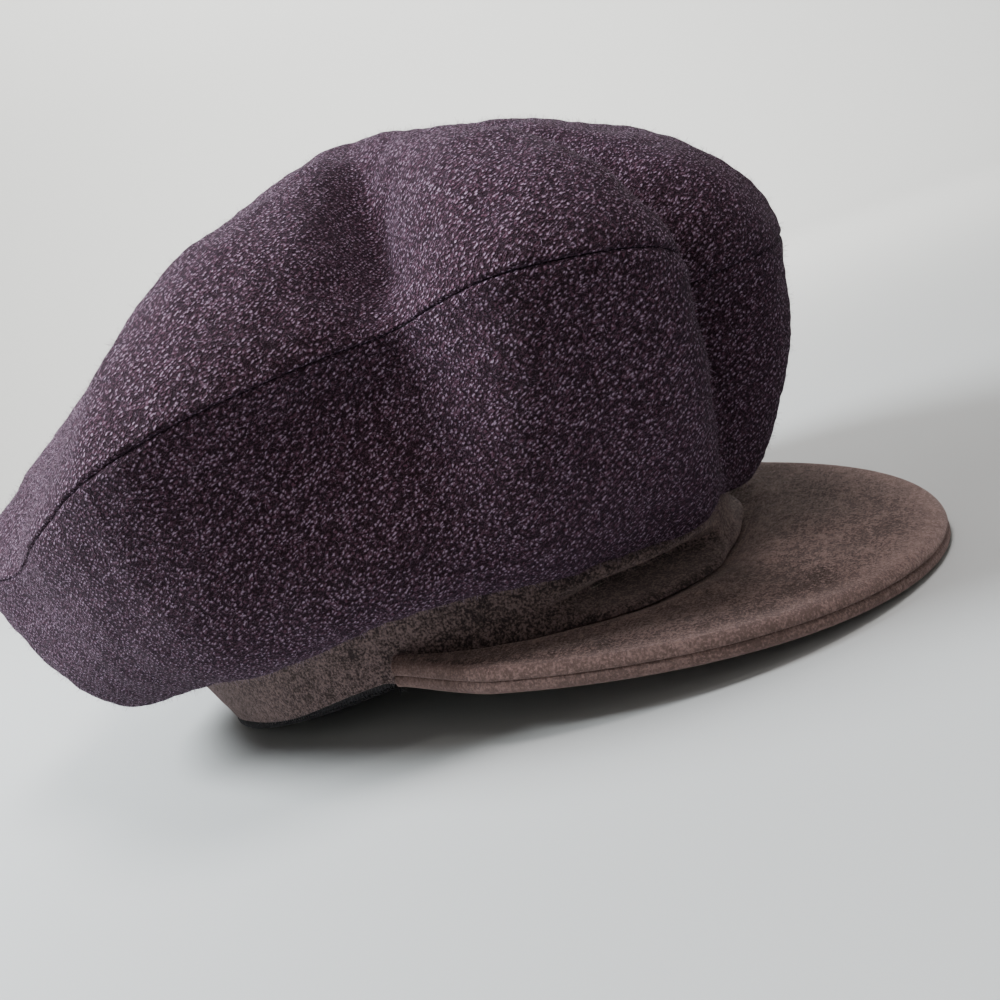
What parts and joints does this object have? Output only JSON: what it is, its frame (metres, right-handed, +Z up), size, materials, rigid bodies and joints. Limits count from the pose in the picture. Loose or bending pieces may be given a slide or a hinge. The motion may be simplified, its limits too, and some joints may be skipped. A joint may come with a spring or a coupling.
{
  "type": "baker-boy cap",
  "caption": "Soft cap with a full round wool crown that flops back, a suede headband and a padded suede visor.",
  "frame": {"origin": "centre of the head opening, on the level surface the cap stands on", "axes": "+Z up, -Y towards the visor's tip, -X towards the wearer's right"},
  "size_m": [0.2671, 0.3392, 0.179],
  "materials": {
    "plum_wool": "boucle wool, dull and fuzzy",
    "taupe_suede": "fine-napped suede",
    "black_thread": "black sewing thread",
    "dark_lining": "smooth woven lining",
    "stiffener_canvas": "stiff canvas",
    "sweatband_cloth": "black woven band",
    "visor_board": "stiff moulded board",
    "visor_foam": "thin soft padding",
    "blank_ribbon": "blank woven ribbon"
  },
  "bodies": {
    "root": {"crown_tip": "plum_wool", "crown_side": "plum_wool", "rim_seam_thread": "black_thread", "back_seam_thread": "black_thread", "lining_tip": "dark_lining", "lining_side": "dark_lining", "lining_seam_thread": "black_thread", "headband": "taupe_suede", "band_stiffener": "stiffener_canvas", "sweatband": "sweatband_cloth", "edge_overlock_thread": "black_thread", "crown_band_thread": "black_thread", "sweatband_thread": "black_thread", "visor_attach_thread": "black_thread", "size_tab": "blank_ribbon", "visor_cover_top": "taupe_suede", "visor_cover_under": "taupe_suede", "visor_board": "visor_board", "visor_padding": "visor_foam", "visor_edge_thread": "black_thread"}
  },
  "joints": []
}
